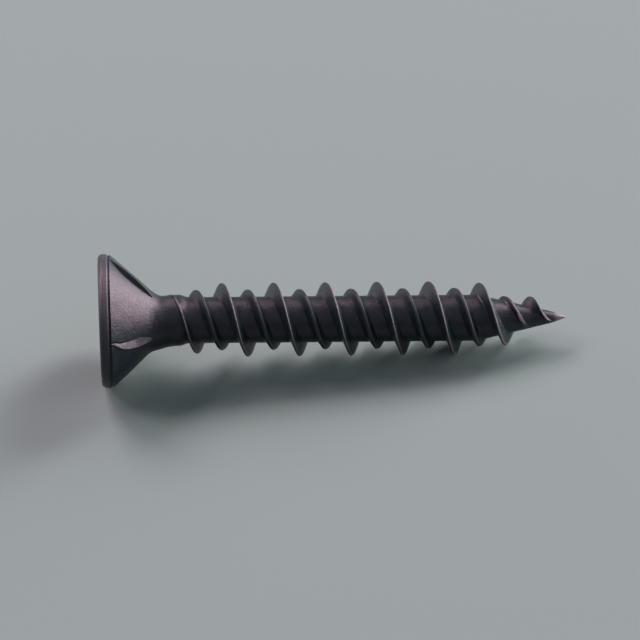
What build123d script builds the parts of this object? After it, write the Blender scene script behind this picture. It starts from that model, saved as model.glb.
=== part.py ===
# Drywall screw with a ribbed countersunk head and a twin thread.
# Millimetres, +Z up.  The screw is formed upright, head face at z = 0 and point at the top,
# then laid down on the ground the way a dropped screw comes to rest, point toward +X.

import os
from math import atan, cos, degrees, radians, sin, tan

from build123d import *

os.makedirs("parts", exist_ok=True)

# Head
length = 24.8
head_diameter = 7.0
rim_height = 0.6
face_break = 0.25
seat_angle = 82.0
neck_fillet = 2.0

# Cross recess
recess_span = 4.5
recess_width = 1.15
recess_core = 2.5
recess_depth = 2.2
recess_floor = 0.35
recess_wing_draft = 26.5
recess_core_draft = 9.0
recess_turn = 20.0

# Ribs that mill the seat under the head, each with a steep leading side and a long trailing side
rib_count = 4
rib_height = 0.24
rib_trail = 0.32
rib_lead = 0.09
rib_skew = 16.5
rib_turn = 170.0
rib_run = 0.9
rib_tail_height = 0.1
rib_tail_trail = 0.14

# Neck, core and point
neck_diameter = 2.72
core_diameter = 2.45
neck_end = 4.3
neck_taper = 0.5
point_length = 4.7
point_angle = 26.0
tip_length = 1.4
tip_flat = 0.12

# Twin thread: one high ridge and one low ridge, half a turn apart
lead = 2.74
high_diameter = 3.9
low_diameter = 3.2
high_crest = 0.14
low_crest = 0.22
high_flank = 23.5
low_flank = 36.0
ridge_root = 0.12
high_crest_up = 6.57
crest_up_angle = 140.0

# Where the thread grows out of the neck and dies away on the point
thread_start = 3.2
thread_rise = 3.85
thread_full = 5.78
taper_length = 4.9
high_bare_tip = 0.7
low_bare_tip = 1.6
ridge_cone_angle = 23.0
crest_taper_angle = 15.5
nose_angle = 41.0
high_nose_gap = 0.65
low_nose_gap = 1.4

# Sizes that follow from the ones above
head_radius = head_diameter / 2
neck_radius = neck_diameter / 2
core_radius = core_diameter / 2
break_mid = sin(radians(45))
seat_slope = tan(radians(seat_angle / 2))
point_slope = tan(radians(point_angle / 2))
seat_length = (head_radius - neck_radius) / seat_slope
point_start = length - point_length
thread_taper = length - taper_length
tip_start = length - tip_length
tip_base = core_radius - (tip_start - point_start) * point_slope


def seat_point(along):
    """Radius and height on the seat cone, measured along the cone from the rim edge."""
    half = radians(seat_angle / 2)
    return head_radius - along * sin(half), rim_height + along * cos(half)


# The screw blank: head, cone, neck, core and point in one turned profile.
with BuildPart() as upright:
    with BuildSketch(Plane.XZ):
        with BuildLine():
            Polyline(
                (0, 0),
                (head_radius - face_break, 0),
                (head_radius - face_break * (1 - break_mid), face_break * (1 - break_mid)),
                (head_radius, face_break),
                (head_radius, rim_height),
            )
            fillet_back = neck_fillet * tan(radians(seat_angle / 4))
            cone_end_r, cone_end_z = seat_point(
                seat_length / cos(radians(seat_angle / 2)) - fillet_back
            )
            fillet_top = rim_height + seat_length + fillet_back
            Line((head_radius, rim_height), (cone_end_r, cone_end_z))
            RadiusArc((cone_end_r, cone_end_z), (neck_radius, fillet_top), neck_fillet)
            Polyline(
                (neck_radius, fillet_top),
                (neck_radius, neck_end),
                (core_radius, neck_end + neck_taper),
                (core_radius, point_start),
                (tip_base, tip_start),
                (tip_flat / 2, length),
                (0, length),
                (0, 0),
            )
        make_face()
    revolve(axis=Axis.Z)

# Each ridge is a trapezoid swept along a helix that runs up the core and then winds in on the
# point.  A turned envelope trims it, so it grows out of the neck and dies away toward the tip.
# The high ridge winds on almost to the tip, and the low ridge ends sooner.
start_turn = crest_up_angle + 360 * (thread_start - high_crest_up) / lead
taper_turn = 360 * (thread_taper - thread_start) / lead
run_in = (high_diameter / 2 - neck_radius) / (thread_full - thread_rise)
crest_taper = tan(radians(crest_taper_angle))
nose_slope = tan(radians(nose_angle))
nose_radius = tip_flat / 4
spare = 0.3

for crest_radius, crest_width, flank, bare_tip, nose_gap, opposite in (
    (high_diameter / 2, high_crest, high_flank, high_bare_tip, high_nose_gap, 0),
    (low_diameter / 2, low_crest, low_flank, low_bare_tip, low_nose_gap, 180),
):
    shank_edge = Helix(
        pitch=lead,
        height=thread_taper - thread_start,
        radius=core_radius,
        center=(0, 0, thread_start),
    ).edge()
    point_edge = Helix(
        pitch=lead,
        height=length - bare_tip - thread_taper,
        radius=core_radius,
        center=(0, 0, thread_taper),
        cone_angle=-ridge_cone_angle / 2,
    ).edge()
    ridge_path = Wire([shank_edge, point_edge.rotate(Axis.Z, taper_turn)])

    rise = crest_radius - core_radius
    half_root = crest_width / 2 + (rise + ridge_root) * tan(radians(flank))
    nose_top = length - nose_gap
    nose_start = (nose_top * nose_slope - crest_radius - thread_taper * crest_taper) / (
        nose_slope - crest_taper
    )
    with BuildPart() as ridge:
        section_plane = Plane(
            origin=ridge_path @ 0, z_dir=ridge_path % 0, x_dir=(1, 0, 0)
        )
        with BuildSketch(section_plane):
            Polygon(
                (-ridge_root, -half_root),
                (rise, -crest_width / 2),
                (rise, crest_width / 2),
                (-ridge_root, half_root),
                align=None,
            )
        sweep(path=ridge_path, is_frenet=True)
        with BuildSketch(Plane.XZ):
            with BuildLine():
                Polyline(
                    (0, thread_start),
                    (neck_radius, thread_start),
                    (neck_radius, thread_rise),
                    (crest_radius + spare, thread_rise + (crest_radius + spare - neck_radius) / run_in),
                    (crest_radius + spare, thread_taper - spare / crest_taper),
                    ((nose_top - nose_start) * nose_slope, nose_start),
                    (nose_radius, nose_top - nose_radius / nose_slope),
                    (0, nose_top - nose_radius / nose_slope),
                    (0, thread_start),
                )
            make_face()
        revolve(axis=Axis.Z, mode=Mode.INTERSECT)
    with upright:
        with Locations(Location((0, 0, 0), (0, 0, start_turn + opposite))):
            add(ridge.part)

# A rib starts at a sharp tip on the rim edge and leans in the turning direction.  Its section
# is a saw tooth whose steep side leads.
seat_run = seat_length / cos(radians(seat_angle / 2))
rib_root = 0.15
with BuildPart() as rib:
    for along, height, trail, lean in (
        (0.02, 0.01, rib_trail / 20, -rib_skew / 2),
        (rib_run, rib_height, rib_trail, 0),
        (seat_run, rib_tail_height, rib_tail_trail, rib_skew / 2),
    ):
        radius, level = seat_point(along)
        lean_dir = (cos(radians(lean)), sin(radians(lean)))
        half = radians(seat_angle / 2)
        rib_plane = Plane(
            origin=(radius * lean_dir[0], radius * lean_dir[1], level),
            x_dir=(-lean_dir[1], lean_dir[0], 0),
            z_dir=(-sin(half) * lean_dir[0], -sin(half) * lean_dir[1], cos(half)),
        )
        below = (height + rib_root) / height
        lead_foot = rib_lead * height / rib_height * below
        with BuildSketch(rib_plane):
            Polygon(
                (-trail * below, rib_root), (lead_foot, rib_root), (0, -height), align=None
            )
    loft(ruled=True)

with upright:
    for number in range(rib_count):
        turn = rib_turn + number * 360 / rib_count
        with Locations(Location((0, 0, 0), (0, 0, turn))):
            add(rib.part)

# The cross recess: two wings with drafted ends around a drafted core with a conical floor.
lip = 0.1
wing_slope = tan(radians(recess_wing_draft))
core_slope = tan(radians(recess_core_draft))
with BuildPart() as recess:
    for number in range(2):
        wing_plane = Plane.XZ.rotated((0, 0, recess_turn + 90 * number))
        with BuildSketch(wing_plane):
            Polygon(
                (-recess_span / 2 - lip * wing_slope, -lip),
                (recess_span / 2 + lip * wing_slope, -lip),
                (recess_span / 2 - recess_depth * wing_slope, recess_depth),
                (0, recess_depth + recess_floor),
                (-recess_span / 2 + recess_depth * wing_slope, recess_depth),
                align=None,
            )
        extrude(amount=recess_width / 2, both=True)
    with BuildSketch(Plane.XZ):
        Polygon(
            (0, -lip),
            (recess_core / 2 + lip * core_slope, -lip),
            (recess_core / 2 - recess_depth * core_slope, recess_depth),
            (0, recess_depth + recess_floor),
            align=None,
        )
    revolve(axis=Axis.Z)

with upright:
    add(recess.part, mode=Mode.SUBTRACT)

# Laid down: the rim edge and one crest of the high ridge touch the ground.
turns_to_ground = (360 - crest_up_angle) / 360
last_turn = int((thread_taper - high_crest_up) / lead - turns_to_ground)
ground_crest = high_crest_up + (turns_to_ground + last_turn) * lead + high_crest / 2
rest_tilt = atan((head_radius - high_diameter / 2) / (ground_crest - rim_height))
lift = rim_height * sin(rest_tilt) + head_radius * cos(rest_tilt)
back_end = -(head_radius - face_break) * sin(rest_tilt)
front_end = length * cos(rest_tilt) + tip_flat / 2 * sin(rest_tilt)

with BuildPart() as drywall_screw:
    with Locations(
        Location((-(back_end + front_end) / 2, 0, lift), (0, 90 + degrees(rest_tilt), 0))
    ):
        add(upright.part)

drywall_screw.part.label = "drywall_screw"
export_step(drywall_screw.part, "parts/drywall_screw.step")

box = drywall_screw.part.bounding_box()
print("volume", round(drywall_screw.part.volume, 3), "valid", drywall_screw.part.is_valid)
print("solids", len(drywall_screw.part.solids()), "faces", len(drywall_screw.part.faces()))
print("box", box.min, box.max, "rest tilt", round(degrees(rest_tilt), 3))
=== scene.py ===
# %% [markdown]
# A drywall screw, lying on a pale floor where it was dropped.  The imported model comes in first,
# with its real size and place.  It is made of flat triangles with knife-sharp edges.  The cells
# below model the same screw again, finely enough for a close look, and then give it its phosphate
# skin, its light and its camera.

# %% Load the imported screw
from math import atan, atan2, ceil, copysign, cos, degrees, exp, hypot, pi, radians, sin, tan

import bpy
from mathutils import Matrix, Vector


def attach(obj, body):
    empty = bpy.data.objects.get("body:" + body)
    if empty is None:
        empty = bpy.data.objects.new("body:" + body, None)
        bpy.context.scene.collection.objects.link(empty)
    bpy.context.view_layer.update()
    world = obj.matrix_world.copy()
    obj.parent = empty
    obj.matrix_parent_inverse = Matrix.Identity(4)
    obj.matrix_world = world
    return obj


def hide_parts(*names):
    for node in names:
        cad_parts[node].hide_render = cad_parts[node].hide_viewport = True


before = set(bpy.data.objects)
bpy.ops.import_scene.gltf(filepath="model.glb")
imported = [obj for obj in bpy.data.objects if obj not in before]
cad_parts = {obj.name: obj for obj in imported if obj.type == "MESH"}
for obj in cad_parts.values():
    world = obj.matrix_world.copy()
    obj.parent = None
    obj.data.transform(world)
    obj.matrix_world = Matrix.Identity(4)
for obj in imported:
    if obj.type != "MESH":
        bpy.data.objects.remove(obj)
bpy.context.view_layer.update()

# %% [markdown]
# The real screw starts as a piece of wire.  One end is hammered into a head, and then the wire is
# rolled between two grooved plates, which press the thread up out of it.  The sizes are in
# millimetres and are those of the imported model, but the neck fillet is a little tighter and the tip
# blunter.  The screw is modelled upright, with the head face at height zero and the point at the
# top, because every tool that turns or winds a shape is easiest to aim along an upright axis.

# %% Sizes of the screw
length = 24.8
head_radius = 3.5
rim_height = 0.6
face_break = 0.25
seat_angle = radians(82.0)
neck_fillet = 1.7
neck_radius = 1.36
core_radius = 1.225
neck_end = 4.3
neck_taper = 0.5
point_start = length - 4.7
point_angle = radians(26.0)
tip_start = length - 0.75
tip_radius = 0.04
tip_base = core_radius - (tip_start - point_start) * tan(point_angle / 2)
print("screw is", length, "long and", 2 * head_radius, "across the head")

# %% [markdown]
# The thread has two ridges, a high one that cuts into the wood and a low one between its turns.
# Both climb by one lead in each turn of the screw.  Near the neck they grow out of the shank, and
# at the point they lose height and die away.  The side of a ridge toward the point is steeper than
# the side toward the head, and point_side_share says by how much.  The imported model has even
# sides and slightly wider crests.

# %% Sizes of the thread
lead = 2.74
high_radius = 1.95
low_radius = 1.6
high_half_crest = 0.05
low_half_crest = 0.07
high_flank = radians(20.0)
low_flank = radians(32.0)
point_side_share = 0.8
corner_inset = 0.03
corner_slope = 0.84
crest_up_height = 6.57
crest_up_angle = radians(140.0)
thread_rise = 3.85
thread_full = 5.78
thread_taper = length - 4.9
crest_taper = radians(15.5)
nose_angle = radians(41.0)
high_nose_top = length - 0.42
low_nose_top = length - 1.4
run_in = (high_radius - neck_radius) / (thread_full - thread_rise)
print("turns of thread", round((length - thread_rise) / lead, 1))

# %% [markdown]
# A rolled thread has no true sharp edge, and its soft corners catch the light as thin bright
# lines.  A bevel could round them, but the ridges fade into the cone and leave it no edge to follow
# there.  So one helper takes the smaller of two radii and one the larger, both with a soft corner
# in place of a crease.

# %% Soft corners
def soft_min(a, b, soft):
    """The smaller value, rounded where the two meet."""
    gap = max(soft - abs(a - b), 0.0) / soft
    return min(a, b) - gap * gap * soft / 4


def soft_max(a, b, soft):
    """The larger value, rounded where the two meet."""
    return -soft_min(-a, -b, soft)


print("soft corner of 1 and 1:", soft_max(1.0, 1.0, 0.1))

# %% [markdown]
# The bare blank is the screw without its thread: neck, core, the long cone of the point and the
# blunt little tip.  It could be a profile turned on its axis, but the ridges have to grow out of
# it, so it is written as a radius that depends on the height alone.

# %% Radius of the blank
blank_soft = 0.04


def blank_radius(height):
    """Radius of the neck, core and point at a height."""
    if height < neck_end + neck_taper:
        along = min(max((height - neck_end) / neck_taper, 0.0), 1.0)
        along = along * along * (3 - 2 * along)
        return neck_radius + (core_radius - neck_radius) * along
    cone = core_radius - (height - point_start) * tan(point_angle / 2)
    tip = tip_base + (tip_radius - tip_base) * (height - tip_start) / (length - tip_start)
    return soft_min(core_radius, soft_min(cone, tip, blank_soft), blank_soft)


print("core radius", blank_radius(12), "near the tip", round(blank_radius(24), 3))

# %% [markdown]
# A ridge is a rounded trapezoid.  Its depth under the crest depends on how far along the shank a
# place lies from the middle of the crest.  On the side of the point the corner of the crest is
# rolled over into a narrow sloping band, which shines as a thin bright line.  The crest itself
# climbs out of the neck, runs level along the shank and sinks again at the point.

# %% Section and crest of a ridge
head_corner_soft = 0.02
band_soft = 0.01
band_foot_soft = 0.015
rise_soft = 0.05
nose_soft = 0.1


def below_crest(away, half_crest, flank):
    """Depth under the crest at a distance from its middle, counted toward the point."""
    side = (abs(away) - half_crest) / tan(flank if away < 0 else flank * point_side_share)
    if away < 0:
        return soft_max(0.0, side, head_corner_soft)
    band = (away - half_crest + corner_inset) * corner_slope
    return soft_max(soft_max(0.0, band, band_soft), side, band_foot_soft)


def crest_radius(height, full, nose_top):
    """Radius of a crest at a height: it grows at the neck and shrinks at the point."""
    grow = neck_radius + (height - thread_rise) * run_in
    sink = full - (height - thread_taper) * tan(crest_taper)
    nose = (nose_top - height) * tan(nose_angle)
    ends = soft_min(soft_min(grow, sink, rise_soft), nose, nose_soft)
    return soft_min(full, ends, rise_soft)


print("side of the high ridge", round(below_crest(0.3, high_half_crest, high_flank), 3))
print("crest at the point", round(crest_radius(21.5, high_radius, high_nose_top), 3))

# %% [markdown]
# One turn of the shank is drawn as a line that runs up the shank for exactly one lead, over the
# high ridge, the valley, the low ridge and the next valley.  Its points are close together where
# the line bends and far apart where it is straight.  The Screw modifier then winds the line up
# the axis.  The end of each turn meets the start of the next, so the whole shank becomes one
# sheet whose edges follow the thread.  Sweeping each ridge along its own helix would also work,
# but then the ridges have to be cut into the core.

# %% Draw the line of one lead
high_steps = (0, 0.02, 0.04, 0.06, 0.08, 0.1, 0.14, 0.2, 0.28, 0.34, 0.38, 0.42, 0.5)
low_steps = (0, 0.04, 0.06, 0.08, 0.1, 0.14, 0.2, 0.27, 0.34, 0.4, 0.48)
valley_heights = (0.68, 2.06)
line_heights = {round(height, 3) for height in valley_heights}
for step in high_steps:
    line_heights |= {round(step, 3), round(lead - step, 3)}
for step in low_steps:
    line_heights |= {round(lead / 2 + step, 3), round(lead / 2 - step, 3)}
line_heights = sorted(line_heights)
turns_below = 2
first_turn = crest_up_height - crest_up_angle / (2 * pi) * lead - turns_below * lead

bpy.ops.object.select_all(action="DESELECT")
bpy.ops.mesh.primitive_plane_add(size=0.1, location=(0, 0, 0))
screw = bpy.context.object
screw.name = "screw"
bpy.ops.object.mode_set(mode="EDIT")
bpy.ops.mesh.select_all(action="SELECT")
bpy.ops.mesh.merge(type="CENTER")
bpy.ops.transform.translate(value=(core_radius, 0, first_turn))
for below, above in zip(line_heights, line_heights[1:]):
    bpy.ops.mesh.extrude_region_move(
        TRANSFORM_OT_translate={"value": (0, 0, above - below)}
    )
bpy.ops.object.mode_set(mode="OBJECT")
print("points on the line:", len(screw.data.vertices))

# %% [markdown]
# The real thread is smooth, so the winding needs many steps: 144 to a turn keep every flat on the
# thread under a tenth of a millimetre.  Where two turns meet, the modifier merges their points.

# %% Wind the line up the axis
steps_per_turn = 144
merge_distance = 0.0005
wind = screw.modifiers.new("wind", "SCREW")
wind.axis = "Z"
wind.angle = 2 * pi
wind.screw_offset = lead
wind.iterations = ceil((length - first_turn) / lead)
wind.steps = steps_per_turn
wind.render_steps = steps_per_turn
wind.use_merge_vertices = True
wind.merge_threshold = merge_distance
bpy.ops.object.modifier_apply(modifier="wind")
print("wound faces:", len(screw.data.polygons))

# %% [markdown]
# The wound sheet is still a plain tube.  Each of its points now takes the radius that the thread
# has there.  No single tool both winds a ridge and lets it die away on a cone, so the rule is
# written out: at each place the surface is the largest of the blank, the high ridge and the low
# ridge, with a soft root where they meet.

# %% Raise the thread
root_soft = 0.07


def past_crest(angle, height):
    """Distance along the axis from the nearest high crest, counted toward the point."""
    over = (height - crest_up_height - (angle - crest_up_angle) / (2 * pi) * lead) % lead
    return over - lead if over > lead / 2 else over


def thread_radius(angle, height):
    """Radius of the finished shank at an angle and a height."""
    to_high = past_crest(angle, height)
    to_low = to_high % lead - lead / 2
    high = crest_radius(height, high_radius, high_nose_top)
    high -= below_crest(to_high, high_half_crest, high_flank)
    low = crest_radius(height, low_radius, low_nose_top)
    low -= below_crest(to_low, low_half_crest, low_flank)
    return soft_max(soft_max(blank_radius(height), high, root_soft), low, root_soft)


for point in screw.data.vertices:
    x, y, z = point.co
    angle = atan2(y, x)
    radius = thread_radius(angle, z)
    point.co = Vector((radius * cos(angle), radius * sin(angle), z))
print("widest:", round(max(hypot(p.co.x, p.co.y) for p in screw.data.vertices), 3))

# %% [markdown]
# The sheet runs past both ends of the shank.  Two flat bisect cuts trim it, one in the neck and
# one at the tip.  The open ring at the tip is then drawn up a little and merged in its middle, so
# that the tip is closed and blunt, as a rolled one is.

# %% Trim the shank
neck_cut = 3.83
tip_cut = length - 0.012
tip_top = length - 0.002
tip_top_share = 0.6
hair = 0.0001


def edit_all():
    """Edit mode with everything selected."""
    bpy.ops.object.mode_set(mode="EDIT")
    bpy.ops.mesh.select_mode(type="VERT")
    bpy.ops.mesh.select_all(action="SELECT")


def pick(thing, test):
    """Edit mode with the vertices selected that pass the test."""
    bpy.ops.object.mode_set(mode="EDIT")
    bpy.ops.mesh.select_all(action="DESELECT")
    bpy.ops.object.mode_set(mode="OBJECT")
    for point in thing.data.vertices:
        point.select = bool(test(point.co))
    bpy.ops.object.mode_set(mode="EDIT")
    bpy.ops.mesh.select_mode(type="VERT")


edit_all()
bpy.ops.mesh.bisect(plane_co=(0, 0, tip_cut), plane_no=(0, 0, 1), clear_outer=True)
edit_all()
bpy.ops.mesh.bisect(plane_co=(0, 0, neck_cut), plane_no=(0, 0, 1), clear_inner=True)
edit_all()
bpy.ops.mesh.remove_doubles(threshold=merge_distance)
pick(screw, lambda p: p.z > tip_cut - hair)
bpy.ops.mesh.extrude_region_move(TRANSFORM_OT_translate={"value": (0, 0, tip_top - tip_cut)})
bpy.ops.transform.resize(value=(tip_top_share, tip_top_share, 1), center_override=(0, 0, 0))
bpy.ops.mesh.merge(type="CENTER")
bpy.ops.object.mode_set(mode="OBJECT")
print("shank points:", len(screw.data.vertices))

# %% [markdown]
# The head is hammered out of the same wire, so it grows out of the same sheet.  The open ring in
# the neck is extruded again and again, each time moved and scaled to the next ring of the
# profile: down the neck fillet, out along the cone, round the rim and in over the face.  Behind the
# rim runs a small groove, where the die that forms the cone meets the die that forms the rim.

# %% Profile of the head
seat_half = seat_angle / 2
seat_end = rim_height + (head_radius - neck_radius) / tan(seat_half)
fillet_back = neck_fillet * tan(seat_half / 2)
fillet_centre = (neck_radius + neck_fillet, seat_end + fillet_back)
fillet_steps = 14
cone_steps = 21
round_steps = 7
groove_width = 0.13
groove_depth = 0.09
groove_profile = (
    (0.03, 0.03),
    (0.05, 0.005),
    (groove_depth, -0.02),
    (groove_depth, -0.05),
    (0.03, 0.01 - groove_width),
    (0.008, -0.01 - groove_width),
    (0.0, -0.04 - groove_width),
)
rim_back = rim_height + groove_profile[-1][1]
head_rings = []
for step in range(1, fillet_steps + 1):
    turn = seat_half * step / fillet_steps
    head_rings.append(
        (fillet_centre[0] - neck_fillet * cos(turn), fillet_centre[1] - neck_fillet * sin(turn))
    )
cone_start = head_rings[-1]
for step in range(1, cone_steps):
    share = step / cone_steps
    head_rings.append(
        (
            cone_start[0] + (head_radius - cone_start[0]) * share,
            cone_start[1] + (rim_height - cone_start[1]) * share,
        )
    )
for inward, up in groove_profile:
    head_rings.append((head_radius - inward, rim_height + up))
for share in (0.33, 0.66, 1.0):
    head_rings.append((head_radius, rim_back - (rim_back - face_break) * share))
for step in range(1, round_steps + 1):
    turn = pi / 2 * step / round_steps
    head_rings.append(
        (head_radius - face_break * (1 - cos(turn)), face_break * (1 - sin(turn)))
    )
for radius in (3.1, 2.9, 2.7, 2.5, 2.2, 1.8, 1.4, 1.0, 0.6, 0.3):
    head_rings.append((radius, 0.0))
print("rings in the head:", len(head_rings))

# %% [markdown]
# A cone and a disc could be set against the neck and joined by a boolean, but then a seam crosses
# the fillet just where the light slides over it.  Extruding ring after ring keeps one smooth sheet.

# %% Grow the head out of the neck
pick(screw, lambda p: p.z < neck_cut + hair)
ring_radius, ring_height = neck_radius, neck_cut
for radius, height in [(neck_radius, fillet_centre[1])] + head_rings:
    bpy.ops.mesh.extrude_region_move(
        TRANSFORM_OT_translate={"value": (0, 0, height - ring_height)}
    )
    scale = radius / ring_radius
    bpy.ops.transform.resize(value=(scale, scale, 1), center_override=(0, 0, height))
    ring_radius, ring_height = radius, height
bpy.ops.mesh.merge(type="CENTER")
edit_all()
bpy.ops.mesh.normals_make_consistent(inside=False)
bpy.ops.object.mode_set(mode="OBJECT")
print("screw points:", len(screw.data.vertices), "faces:", len(screw.data.polygons))

# %% [markdown]
# Four small ribs stand on the cone under the head and mill a seat for it.  Each starts at a sharp
# tip on the rim, leans in the turning direction and has the section of a saw tooth, with the
# steep side leading.  Each list below follows a rib from the rim to the neck.  A plain extruded
# wedge would be quicker, but these ribs swell, twist and thin out along the cone.

# %% Sections of one rib
rib_turn = radians(170.0)
rib_lead = 0.09
rib_root = 0.15
rib_along = (0.02, 0.3, 0.65, 1.15, 1.7, 2.4, 2.95)
rib_height = (0.005, 0.1, 0.19, 0.24, 0.23, 0.17, 0.08)
rib_trail = (0.01, 0.13, 0.22, 0.28, 0.3, 0.27, 0.12)
rib_lean = (-9.5, -6.6, -2.6, 0.5, 2.6, 5.5, 7.4)


def on_seat(along, lean, section):
    """Points of a section that stands on the cone, at a distance from the rim edge."""
    radius = head_radius - along * sin(seat_half)
    level = rim_height + along * cos(seat_half)
    out = Vector((cos(seat_half) * cos(lean), cos(seat_half) * sin(lean), sin(seat_half)))
    side = Vector((-sin(lean), cos(lean), 0))
    middle = Vector((radius * cos(lean), radius * sin(lean), level))
    return [middle + side * across + out * up for across, up in section]


def rib_section(height, trail):
    """Long trailing side, small round back and steep leading side of a rib."""
    deep = (height + rib_root) / height
    lead_foot = rib_lead * height / max(rib_height)
    back = ((-0.1 * trail, 0.93 * height), (0, 0.97 * height), (0.2 * lead_foot, 0.86 * height))
    return [(-trail * deep, -rib_root), *back, (lead_foot * deep, -rib_root)]


rib_rings = [
    on_seat(along, radians(lean), rib_section(height, trail))
    for along, height, trail, lean in zip(rib_along, rib_height, rib_trail, rib_lean)
]
print("rib sections:", len(rib_rings), "tallest", max(rib_height))

# %% [markdown]
# The die that raises a rib digs a small furrow along its trailing side, and the furrow draws the
# dark line beside the rib.  It has sections on the same cone and is cut out later.

# %% Sections of the furrow behind a rib
furrow_along = (-0.05, 0.3, 0.65, 1.15, 1.7)
furrow_foot = (0.03, 0.16, 0.24, 0.3, 0.32)
furrow_width = (0.05, 0.09, 0.1, 0.09, 0.04)
furrow_top = 0.04
furrow_step = 0.01
furrow_depth_share = 0.7


def furrow_section(foot, width):
    """Open top, short step at the foot of the rib and deepest corner of a furrow."""
    return [
        (-foot - width, furrow_top),
        (-foot, furrow_top),
        (-foot, -furrow_step),
        (-foot - width / 3, -furrow_depth_share * width),
    ]


furrow_rings = [
    on_seat(along, radians(lean), furrow_section(foot, width))
    for along, foot, width, lean in zip(furrow_along, furrow_foot, furrow_width, rib_lean)
]
print("furrow sections:", len(furrow_rings))

# %% [markdown]
# Ribs and furrows are both bars whose section changes from end to end.  A cylinder with few sides
# gives such a bar: its top is extruded once for each further section, and then every corner moves
# to its place.  One bar is made, and the other three are copies turned round the axis.

# %% Shape a bar from a cylinder
rib_count = 4


def bar(name, rings):
    """A cylinder extruded once for each section, whose corners move to the sections."""
    sides = len(rings[0])
    bpy.ops.object.select_all(action="DESELECT")
    bpy.ops.mesh.primitive_cylinder_add(vertices=sides, radius=0.2, depth=1.0)
    made = bpy.context.object
    made.name = name
    pick(made, lambda p: p.z > 0)
    for _ in rings[2:]:
        bpy.ops.mesh.extrude_region_move(TRANSFORM_OT_translate={"value": (0, 0, 1)})
    bpy.ops.object.mode_set(mode="OBJECT")
    for point in made.data.vertices:
        number = round(point.co.z + 0.5)
        around = round(atan2(point.co.x, point.co.y) / (2 * pi) * sides) % sides
        point.co = rings[number][around]
    edit_all()
    bpy.ops.mesh.normals_make_consistent(inside=False)
    bpy.ops.object.mode_set(mode="OBJECT")
    return made


def set_round(bar_piece, turn):
    """Turns a bar to its place and adds its copies round the axis, as one object."""
    bar_piece.rotation_euler = (0, 0, turn)
    bpy.ops.object.transform_apply(rotation=True)
    bars = [bar_piece]
    for number in range(1, rib_count):
        bpy.ops.object.select_all(action="DESELECT")
        bar_piece.select_set(True)
        bpy.context.view_layer.objects.active = bar_piece
        bpy.ops.object.duplicate()
        copy = bpy.context.object
        copy.rotation_euler = (0, 0, number * 2 * pi / rib_count)
        bpy.ops.object.transform_apply(rotation=True)
        bars.append(copy)
    for piece in bars:
        piece.select_set(True)
    bpy.context.view_layer.objects.active = bar_piece
    bpy.ops.object.join()
    return bar_piece


ribs = set_round(bar("ribs", rib_rings), rib_turn)
furrows = set_round(bar("furrows", furrow_rings), rib_turn)
print("rib faces:", len(ribs.data.polygons), "furrow faces:", len(furrows.data.polygons))

# %% [markdown]
# The ribs are one metal with the cone, so a boolean joins them to it, and another takes the
# furrows out.  The exact solver is the one that copes with faces lying close to each other.

# %% Set the ribs on the cone
def boolean(thing, other, operation):
    """Joins or cuts with another closed shape, which is then thrown away."""
    bpy.ops.object.select_all(action="DESELECT")
    thing.select_set(True)
    bpy.context.view_layer.objects.active = thing
    change = thing.modifiers.new(operation, "BOOLEAN")
    change.operation = operation
    change.object = other
    change.solver = "EXACT"
    bpy.ops.object.modifier_apply(modifier=operation)
    bpy.data.objects.remove(other)


boolean(screw, ribs, "UNION")
boolean(screw, furrows, "DIFFERENCE")
print("screw faces with ribs:", len(screw.data.polygons))

# %% [markdown]
# The cross recess in the face takes a number 2 cross bit.  A real one is pressed with a drafted
# cross-shaped punch.  The face could be inset and pushed in, but its rings are round and the cross
# is not, so the punch is modelled: a drafted core with two crossed wings.  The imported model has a
# shallow cone in the floor of the recess, and here that floor is flat.

# %% The punch of the recess
recess_span = 4.5
recess_width = 1.15
recess_core = 2.5
recess_depth = 2.2
wing_draft = radians(26.5)
core_draft = radians(9.0)
recess_turn = radians(20.0)
lip = 0.1
punch_sides = 64
wing_round = 0.05


def wing(number):
    """One wing: a flat slab with drafted ends and rounded edges."""
    bpy.ops.object.select_all(action="DESELECT")
    bpy.ops.mesh.primitive_cube_add(size=1, location=(0, 0, 0))
    slab = bpy.context.object
    slab.name = "wing"
    for point in slab.data.vertices:
        height = recess_depth if point.co.z > 0 else -lip
        reach = recess_span / 2 - height * tan(wing_draft)
        point.co = Vector(
            (
                copysign(reach, point.co.x),
                copysign(recess_width / 2, point.co.y),
                height,
            )
        )
    edit_all()
    bpy.ops.mesh.bevel(offset=wing_round, segments=2, affect="EDGES")
    bpy.ops.object.mode_set(mode="OBJECT")
    slab.rotation_euler = (0, 0, recess_turn + number * pi / 2)
    bpy.ops.object.transform_apply(rotation=True)
    return slab


bpy.ops.object.select_all(action="DESELECT")
bpy.ops.mesh.primitive_cone_add(
    vertices=punch_sides,
    radius1=recess_core / 2 + lip * tan(core_draft),
    radius2=recess_core / 2 - recess_depth * tan(core_draft),
    depth=recess_depth + lip,
    location=(0, 0, (recess_depth - lip) / 2),
)
punch = bpy.context.object
punch.name = "punch"
bpy.ops.object.transform_apply(location=True)
boolean(punch, wing(0), "UNION")
boolean(punch, wing(1), "UNION")
print("punch faces:", len(punch.data.polygons))

# %% [markdown]
# The punch goes into the head, and the points that the booleans left on top of each other are
# merged.  The faces are then turned outward once more.

# %% Punch the recess
recess_merge = 0.0003
boolean(screw, punch, "DIFFERENCE")
edit_all()
bpy.ops.mesh.remove_doubles(threshold=recess_merge)
bpy.ops.mesh.normals_make_consistent(inside=False)
bpy.ops.object.mode_set(mode="OBJECT")
print("screw faces with recess:", len(screw.data.polygons))
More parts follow.
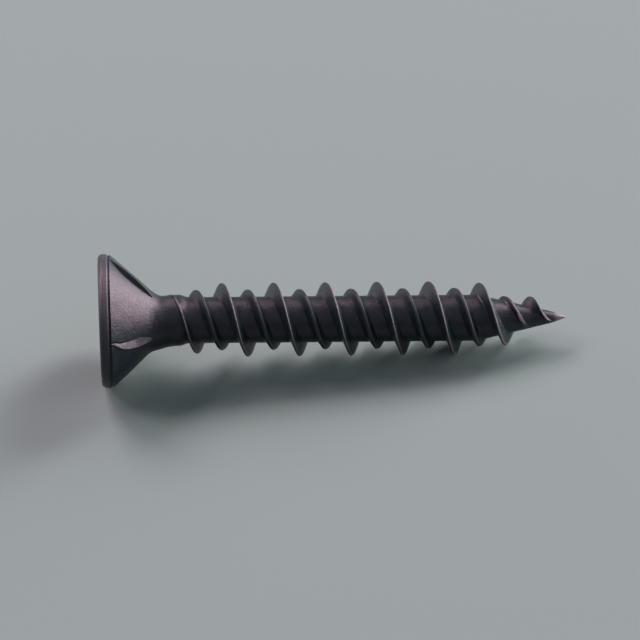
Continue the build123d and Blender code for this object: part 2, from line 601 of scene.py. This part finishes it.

# %% [markdown]
# Screws rub against each other in their box.  The skin is thin where they touch: on the rim of the
# head, on the shining corners of the ridges and at the point.  The same mark also paints light:
# a painted highlight on the ridge corners and the point, and painted shade that darkens the lower
# side of the rim as seen from the camera.  A painted mask could say where, but a rule is exact and
# needs no picture.  So each point of the mesh gets a mark that says how worn and how painted-lit
# it is, and the skin reads that mark later.

# %% Mark the worn places and the painted light
seen_up = Vector((cos(crest_up_angle), sin(crest_up_angle), 0))
rim_wear_and_shade, tip_wear_and_highlight, high_wear_and_highlight, low_wear_and_highlight = 0.3, 1.3, 0.75, 0.5
rim_inner, rim_outer = 3.1, 3.45
tip_mark_length = 0.75
high_band, low_band = 0.06, 0.08
band_reach = (0.01, 0.03)
band_depth = (0.06, 0.12)
low_side = (-1.0, 3.2)
very_top, very_top_share = (-3.2, -1.5), 0.5


def fade(value, start, end):
    """Falls smoothly from one to zero between start and end."""
    share = min(max((value - start) / (end - start), 0.0), 1.0)
    return 1 - share * share * (3 - 2 * share)


def rim_wear_and_painted_shade(place, radius):
    """Wear and painted shade on the rim: less on its lower side in view and at its very top."""
    # Painted shade: the rim is lighter on its upper side as seen from the camera and darker below.
    rim = fade(place.z, rim_back, rim_height) * fade(-radius, -rim_outer, -rim_inner)
    down = -place.dot(seen_up)
    return rim_wear_and_shade * rim * fade(down, *low_side) * (1 - very_top_share * fade(down, *very_top))


def band_wear_and_painted_highlight(past, below):
    """Wear and painted highlight of the sloping band, from the distance past it and the depth below
    its crest.
    """
    return fade(abs(past), *band_reach) * fade(below, *band_depth)


def wear_and_painted_light(place):
    """How worn and how painted-lit the skin is at a place on the upright screw."""
    radius = hypot(place.x, place.y)
    if place.z < neck_cut:
        return rim_wear_and_painted_shade(place, radius)
    # On the ridge corners and at the point the mark is partly wear and partly a painted highlight.
    tip = fade(-place.z, 0.1 - length, tip_mark_length - length)
    past = past_crest(atan2(place.y, place.x), place.z)
    high_top = crest_radius(place.z, high_radius, high_nose_top)
    low_top = crest_radius(place.z, low_radius, low_nose_top)
    high = high_wear_and_highlight * band_wear_and_painted_highlight(past - high_band, high_top - radius)
    low = low_wear_and_highlight * band_wear_and_painted_highlight(past % lead - lead / 2 - low_band, low_top - radius)
    grown = fade(neck_radius - radius, -0.2, 0.0) if place.z < thread_full else 1.0
    return max(tip_wear_and_highlight * tip, grown * high, grown * low)


marks = screw.data.attributes.new("wear_and_painted_light", "FLOAT", "POINT")
marks.data.foreach_set("value", [wear_and_painted_light(point.co) for point in screw.data.vertices])
print("rubbed points:", sum(mark.value > 0.5 for mark in marks.data))

# %% [markdown]
# Nothing on a cheap screw is quite true.  The head was pressed a little askew, so its lower side
# sits nearer to the point, and the neck sags a little.  A lattice could bend the screw so, but both
# are small moves that fade away along the neck, and a short rule for the points says them plainly.

# %% Set the head askew
askew = tan(radians(1.5))
askew_fade = (1.2, 3.6)
neck_sag = 0.1
sag_middle = 3.3
sag_reach = 0.4
shank_start = 4.6

for point in screw.data.vertices:
    if point.co.z < shank_start:
        upward = point.co.dot(seen_up)
        point.co.z -= askew * (upward - head_radius) * fade(point.co.z, *askew_fade)
        near_neck = exp(-(((point.co.z - sag_middle) / sag_reach) ** 2))
        point.co -= seen_up * near_neck * neck_sag * abs(upward) / neck_radius
print("lower side of the face moves by", round(askew * 2 * head_radius, 3))

# %% [markdown]
# Now the screw is laid down.  It rests on the rim of its head and on one crest of the high
# thread, and the line between the two gives the tilt.  The place and the turn are applied to the
# mesh, because the export puts every finished piece at the origin.

# %% Lay the screw down
turns_to_ground = 1 - crest_up_angle / (2 * pi)
last_turn = int((thread_taper - crest_up_height) / lead - turns_to_ground)
ground_crest = crest_up_height + (turns_to_ground + last_turn) * lead + high_half_crest
rest_tilt = atan((head_radius - high_radius) / (ground_crest - rim_height))
laying = Matrix.Rotation(pi / 2 + rest_tilt, 3, "Y")
lift = -min((laying @ point.co).z for point in screw.data.vertices)
back_end = -(head_radius - face_break) * sin(rest_tilt)
front_end = length * cos(rest_tilt) + tip_radius * sin(rest_tilt)
metres = 0.001
smooth_angle = radians(32)
screw.scale = (metres, metres, metres)
screw.rotation_euler = (0, pi / 2 + rest_tilt, 0)
screw.location = (-(back_end + front_end) / 2 * metres, 0, lift * metres)
bpy.ops.object.select_all(action="DESELECT")
screw.select_set(True)
bpy.context.view_layer.objects.active = screw
bpy.ops.object.transform_apply(location=True, rotation=True, scale=True)
bpy.ops.object.shade_smooth_by_angle(angle=smooth_angle)
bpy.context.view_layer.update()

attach(screw, "root")
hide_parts("drywall_screw")

# %% [markdown]
# The skin is a phosphate coat: fine dark crystals that hold a little oil.  It is almost black, and
# its soft gloss is a little mauve.  A painted picture could colour it, but would stretch over the
# steep sides of the thread.  So two noises make it uneven: a fine one for the crystals and a coarse
# one for dents and stains.

# %% Phosphate skin
def node(kind, **inputs):
    """A shader node with its inputs set by name."""
    made = tree.nodes.new(kind)
    for name, value in inputs.items():
        made.inputs[name.replace("_", " ")].default_value = value
    return made


skin = bpy.data.materials.new("phosphate_skin")
skin.use_nodes = True
tree = skin.node_tree
link = tree.links.new
shader = tree.nodes["Principled BSDF"]
shader.inputs["Metallic"].default_value = 0.0
shader.inputs["IOR"].default_value = 1.47
shader.inputs["Specular Tint"].default_value = (1.0, 0.68, 0.80, 1)

place = tree.nodes.new("ShaderNodeTexCoord")
stains = node("ShaderNodeTexNoise", Scale=1800.0, Detail=4.0, Roughness=0.6)
crystals = node("ShaderNodeTexNoise", Scale=11000.0, Detail=3.0, Roughness=0.7)
for texture in (stains, crystals):
    link(place.outputs["Object"], texture.inputs["Vector"])

dark = tree.nodes.new("ShaderNodeValToRGB")
dark.color_ramp.elements[0].position = 0.35
dark.color_ramp.elements[0].color = (0.004, 0.014, 0.018, 1)
dark.color_ramp.elements[1].position = 0.65
dark.color_ramp.elements[1].color = (0.011, 0.024, 0.030, 1)
link(stains.outputs["Fac"], dark.inputs["Fac"])
print("skin nodes so far:", len(tree.nodes))

# %% [markdown]
# Where the screw is rubbed, the crystals are polished off their tops first.  The mark also
# carries painted highlights and the painted shade of the rim.  So the mark on the mesh is
# multiplied by the fine noise, and a few bright specks are added where that noise is highest.
# The result says how far the dark colour gives way to the lighter one, which stands for rubbed
# steel and for painted highlights.

# %% Worn and painted-light places of the skin
def combine(operation, first, second):
    """A math node that joins two values."""
    made = tree.nodes.new("ShaderNodeMath")
    made.operation = operation
    link(first, made.inputs[0])
    link(second, made.inputs[1])
    return made.outputs["Value"]


mark = tree.nodes.new("ShaderNodeAttribute")
mark.attribute_name = "wear_and_painted_light"
patchy = node("ShaderNodeMapRange", From_Min=0.35, From_Max=0.6, To_Min=0.45, To_Max=1.0)
specks = node("ShaderNodeMapRange", From_Min=0.66, From_Max=0.74, To_Min=0.0, To_Max=0.3)
for ramp in (patchy, specks):
    link(crystals.outputs["Fac"], ramp.inputs["Value"])
patchy_wear_and_light = combine("MULTIPLY", mark.outputs["Fac"], patchy.outputs["Result"])
wear_light_and_specks = combine("MAXIMUM", patchy_wear_and_light, specks.outputs["Result"])

# A Mix node has sockets of every kind under the same names, so its colours go by number.
mix_dark, mix_wear_and_light, mix_result = 6, 7, 2
blend = tree.nodes.new("ShaderNodeMix")
blend.data_type = "RGBA"
# The lighter mauve stands for rubbed steel and for painted highlights.
blend.inputs[mix_wear_and_light].default_value = (0.26, 0.21, 0.235, 1)
link(wear_light_and_specks, blend.inputs["Factor"])
link(dark.outputs["Color"], blend.inputs[mix_dark])
link(blend.outputs[mix_result], shader.inputs["Base Color"])
print("skin nodes so far:", len(tree.nodes))

# %% [markdown]
# The gloss of the coat changes a little from stain to stain, and the coat is slightly rough.  The
# crystals are far too small and too many to model, so the two noises lift the surface as a bump.

# %% Gloss and grain of the skin
gloss = node("ShaderNodeMapRange", From_Min=0.3, From_Max=0.7, To_Min=0.34, To_Max=0.46)
link(stains.outputs["Fac"], gloss.inputs["Value"])
link(gloss.outputs["Result"], shader.inputs["Roughness"])

dents = node("ShaderNodeBump", Strength=0.5, Distance=0.00006)
link(stains.outputs["Fac"], dents.inputs["Height"])
grain = node("ShaderNodeBump", Strength=0.7, Distance=0.00003)
link(crystals.outputs["Fac"], grain.inputs["Height"])
link(dents.outputs["Normal"], grain.inputs["Normal"])
link(grain.outputs["Normal"], shader.inputs["Normal"])

for coated in (screw, *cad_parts.values()):
    coated.data.materials.clear()
    coated.data.materials.append(skin)
print("skin nodes:", len(tree.nodes))

# %% [markdown]
# The floor is one plain pale plane, far larger than the view.  A curved backdrop is only needed
# where the horizon shows, and here the camera looks down.

# %% Floor
floor_size = 4.0
bpy.ops.object.select_all(action="DESELECT")
bpy.ops.mesh.primitive_plane_add(size=floor_size, location=(0, 0, 0))
floor = bpy.context.object
floor.name = "floor"
floor_paint = bpy.data.materials.new("floor_paint")
floor_paint.use_nodes = True
floor_shader = floor_paint.node_tree.nodes["Principled BSDF"]
floor_shader.inputs["Base Color"].default_value = (0.216, 0.258, 0.244, 1)
floor_shader.inputs["Roughness"].default_value = 0.9
floor_shader.inputs["Specular IOR Level"].default_value = 0.0
floor.data.materials.append(floor_paint)
print("floor at height", floor.location.z)

# %% [markdown]
# The camera looks down on the screw from about 40 degrees.  A near camera would swell the head, so
# it stands far away with a long lens, and the shank keeps one width from head to point.

# %% Camera
screw_middle = Vector((-0.000506, 0.0, 0.0025))
camera_elevation = radians(40.0)
camera_turn = radians(1.8)
camera_roll = radians(5.3)
camera_distance = 0.265
camera_lens = 281.0
nearest_view = 0.01

toward_camera = Vector(
    (
        sin(camera_turn) * cos(camera_elevation),
        -cos(camera_turn) * cos(camera_elevation),
        sin(camera_elevation),
    )
)
camera_data = bpy.data.cameras.new("camera")
camera = bpy.data.objects.new("camera", camera_data)
bpy.context.scene.collection.objects.link(camera)
camera.location = screw_middle + toward_camera * camera_distance
camera.rotation_mode = "QUATERNION"
camera.rotation_quaternion = (
    toward_camera.to_track_quat("Z", "Y")
    @ Matrix.Rotation(-camera_roll, 3, "Z").to_quaternion()
)
camera_data.sensor_width = 36.0
camera_data.lens = camera_lens
camera_data.clip_start = nearest_view
bpy.context.scene.camera = camera
print("camera", camera.location)

# %% [markdown]
# The light is that of a soft tent.  The key lamps stand behind the head on the left and throw the
# broad shadow toward the viewer.  The lamps on the right stand low: they brighten the cone under
# the head and the point, and they draw the thin lines on the thread.  A weak lamp in front lifts
# the shadow side a little.  One bright sky would be simpler, but it would light every side alike.
# Each line of the table gives the azimuth and elevation in degrees, the width and height in
# metres, the power and the colour.

# %% Lamps
lamp_distance = 0.6
lamps = {
    "key_lamp": (118, 46, 0.26, 0.24, 2.8, (1.0, 0.80, 0.90)),
    "key_side": (160, 45, 0.20, 0.20, 1.2, (1.0, 0.80, 0.90)),
    "key_low": (150, 8, 0.20, 0.20, 0.75, (1.0, 0.94, 1.0)),
    "strip_right": (40, 26, 0.20, 0.55, 4.9, (1.0, 0.97, 1.0)),
    "low_right": (12, 8, 0.45, 0.20, 4.6, (1.0, 0.97, 1.0)),
    "front_fill": (-70, 50, 0.90, 0.70, 1.0, (0.85, 1.0, 1.1)),
}
for name, (azimuth, elevation, width, height, watts, tone) in lamps.items():
    data = bpy.data.lights.new(name, "AREA")
    data.shape = "RECTANGLE"
    data.size = width
    data.size_y = height
    data.energy = watts
    data.color = tone
    lamp = bpy.data.objects.new(name, data)
    bpy.context.scene.collection.objects.link(lamp)
    turn, rise = radians(azimuth), radians(elevation)
    toward = Vector((cos(rise) * cos(turn), cos(rise) * sin(turn), sin(rise)))
    lamp.location = toward * lamp_distance
    lamp.rotation_mode = "QUATERNION"
    lamp.rotation_quaternion = toward.to_track_quat("Z", "Y")

world = bpy.data.worlds.new("room")
bpy.context.scene.world = world
world.use_nodes = True
backdrop = world.node_tree.nodes["Background"]
backdrop.inputs["Color"].default_value = (0.7, 0.95, 1.3, 1)
backdrop.inputs["Strength"].default_value = 0.015
bpy.context.scene.view_settings.view_transform = "Standard"
print("lamps:", list(lamps))
